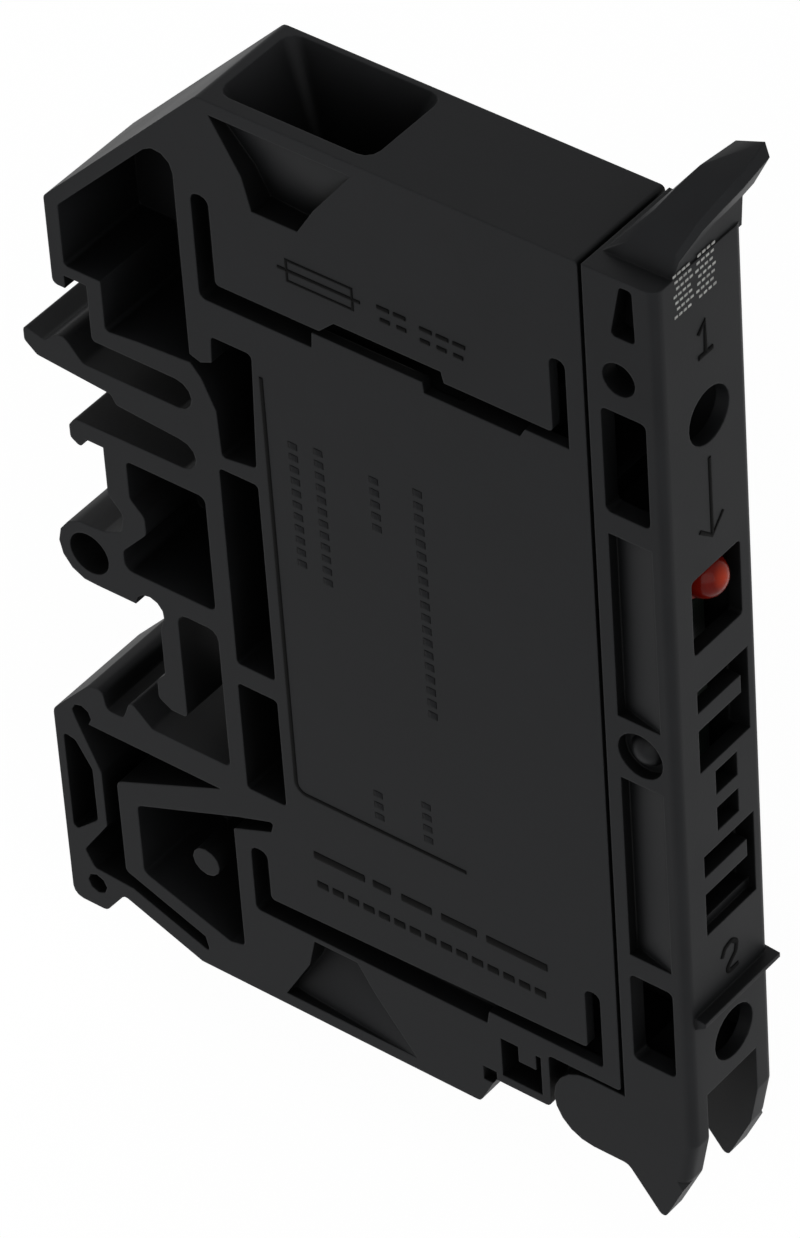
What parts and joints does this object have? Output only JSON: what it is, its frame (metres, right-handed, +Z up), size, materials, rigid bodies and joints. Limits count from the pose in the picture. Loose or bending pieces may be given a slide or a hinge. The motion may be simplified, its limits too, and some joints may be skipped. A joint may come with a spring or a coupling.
{
  "type": "fuse terminal block",
  "caption": "Narrow rail-mounted terminal block with a hinged lever that carries a cartridge fuse and a blown-fuse lamp",
  "frame": {"origin": "middle of the 35 mm rail, in the plane of its lips' front faces, at half the block's thickness", "axes": "+Y towards the rail, -Y towards the lever, +Z up to the line end, -X the flat moulded side"},
  "size_m": [0.0086, 0.0534, 0.0827],
  "materials": {
    "housing_plastic": "near-black moulded nylon, fine spark texture",
    "cover_plastic": "near-black moulded nylon",
    "lever_plastic": "near-black moulded nylon, slightly smoother than the body",
    "fuse_glass": "clear glass tube",
    "fuse_cap": "nickel-plated caps and element",
    "board_laminate": "green glass-fibre laminate",
    "resistor_body": "black chip resistor",
    "lamp_red": "red lamp lens, clear gloss",
    "leaf_brass": "thin brass leaf",
    "contact_brass": "tin-plated copper alloy",
    "clamp_steel": "zinc-plated steel"
  },
  "bodies": {
    "body": {"housing": "housing_plastic", "side_cover": "cover_plastic", "line_current_bar": "contact_brass", "load_current_bar": "contact_brass", "line_fuse_contact": "contact_brass", "load_fuse_contact": "contact_brass"},
    "lever": {"lever": "lever_plastic", "fuse_tube": "fuse_glass", "fuse_cap_line": "fuse_cap", "fuse_cap_load": "fuse_cap", "fuse_element": "fuse_cap", "indicator_board": "board_laminate", "indicator_resistor": "resistor_body", "indicator_lamp": "lamp_red", "indicator_contact_line": "leaf_brass", "indicator_contact_load": "leaf_brass"},
    "line_screw": {"line_clamp_screw": "clamp_steel"},
    "load_screw": {"load_clamp_screw": "clamp_steel"},
    "line_yoke": {"line_clamp_yoke": "clamp_steel"},
    "load_yoke": {"load_clamp_yoke": "clamp_steel"}
  },
  "joints": [
    {"name": "lever_pivot", "type": "hinge", "parent": "body", "child": "lever", "pos_m": [0, -0.03615, -0.0331], "axis": [1, 0, 0], "range_deg": [0, 90]},
    {"name": "line_screw_turn", "type": "hinge", "parent": "body", "child": "line_screw", "pos_m": [0.0003, -0.0324, 0.0251], "axis": [0, 1, 0], "range_deg": [0, 2881]},
    {"name": "load_screw_turn", "type": "hinge", "parent": "body", "child": "load_screw", "pos_m": [0.0003, -0.0324, -0.0251], "axis": [0, 1, 0], "range_deg": [0, 2881]},
    {"name": "line_yoke_slide", "type": "slide", "parent": "body", "child": "line_yoke", "axis": [0, -1, 0], "range_m": [0, 0.004]},
    {"name": "load_yoke_slide", "type": "slide", "parent": "body", "child": "load_yoke", "axis": [0, -1, 0], "range_m": [0, 0.004]}
  ],
  "couplings": [
    {"joint": "line_screw_turn", "follows": "line_yoke_slide", "rad_per_m": 12566},
    {"joint": "load_screw_turn", "follows": "load_yoke_slide", "rad_per_m": 12566}
  ]
}
